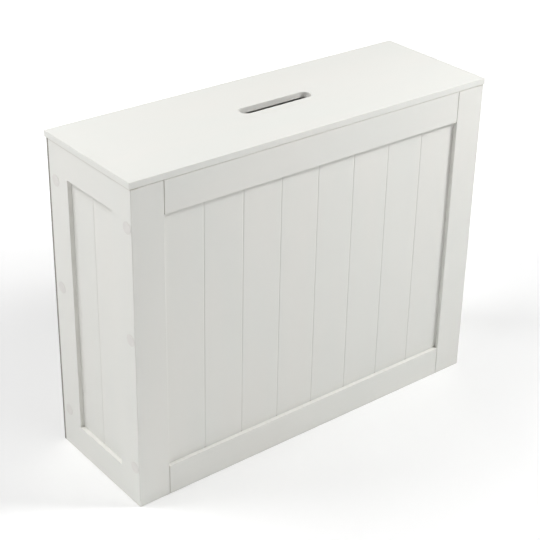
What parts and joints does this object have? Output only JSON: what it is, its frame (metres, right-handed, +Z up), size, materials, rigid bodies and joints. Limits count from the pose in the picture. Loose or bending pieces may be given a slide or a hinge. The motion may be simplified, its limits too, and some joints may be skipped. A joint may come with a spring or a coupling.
{
  "type": "slim bathroom storage box",
  "caption": "Slim painted box that stands with its back to a bathroom wall: panelled front and sides, and a hinged lid with a finger slot over one deep storage compartment.",
  "frame": {"origin": "middle of the shut lid's outline, at floor level", "axes": "+Z up, +Y towards the wall behind, +X to the right of someone facing the front; the lid is shut"},
  "size_m": [0.6, 0.2, 0.479],
  "materials": {
    "satin_paint": "satin off-white paint on fibreboard",
    "inner_paint": "thin off-white paint on timber",
    "back_board": "thin bare fibreboard with a dark raw edge",
    "raw_pine": "planed unpainted pine",
    "beech_dowel": "plain beech",
    "cover_vinyl": "matte stick-on vinyl",
    "bumper_pad": "soft translucent rubber",
    "zinc_steel": "bright zinc-plated steel"
  },
  "bodies": {
    "carcass": {"left_side_panel": "satin_paint", "right_side_panel": "satin_paint", "left_front_stile": "satin_paint", "right_front_stile": "satin_paint", "top_front_rail": "satin_paint", "bottom_front_rail": "satin_paint", "front_panel": "satin_paint", "left_rear_upright": "inner_paint", "right_rear_upright": "inner_paint", "hinge_rail": "inner_paint", "rear_bottom_rail": "inner_paint", "back_panel": "back_board", "base_board": "satin_paint", "front_batten": "raw_pine", "left_end_batten": "raw_pine", "right_end_batten": "raw_pine", "front_frame_dowels": "beech_dowel", "rear_frame_dowels": "beech_dowel", "left_side_screws": "zinc_steel", "right_side_screws": "zinc_steel", "left_screw_caps": "cover_vinyl", "right_screw_caps": "cover_vinyl", "batten_screws": "zinc_steel", "base_board_pins": "zinc_steel", "back_panel_pins": "zinc_steel", "lid_bumpers": "bumper_pad", "left_hinge_fixed_leaf": "zinc_steel", "left_hinge_pin": "zinc_steel", "right_hinge_fixed_leaf": "zinc_steel", "right_hinge_pin": "zinc_steel", "hinge_rail_screws": "zinc_steel"},
    "lid_assembly": {"lid": "satin_paint", "left_hinge_moving_leaf": "zinc_steel", "right_hinge_moving_leaf": "zinc_steel", "hinge_lid_screws": "zinc_steel"}
  },
  "joints": [
    {"name": "lid_hinge", "type": "hinge", "parent": "carcass", "child": "lid_assembly", "pos_m": [0, 0.0958, 0.4675], "axis": [-1, 0, 0], "range_deg": [0, 100]}
  ]
}
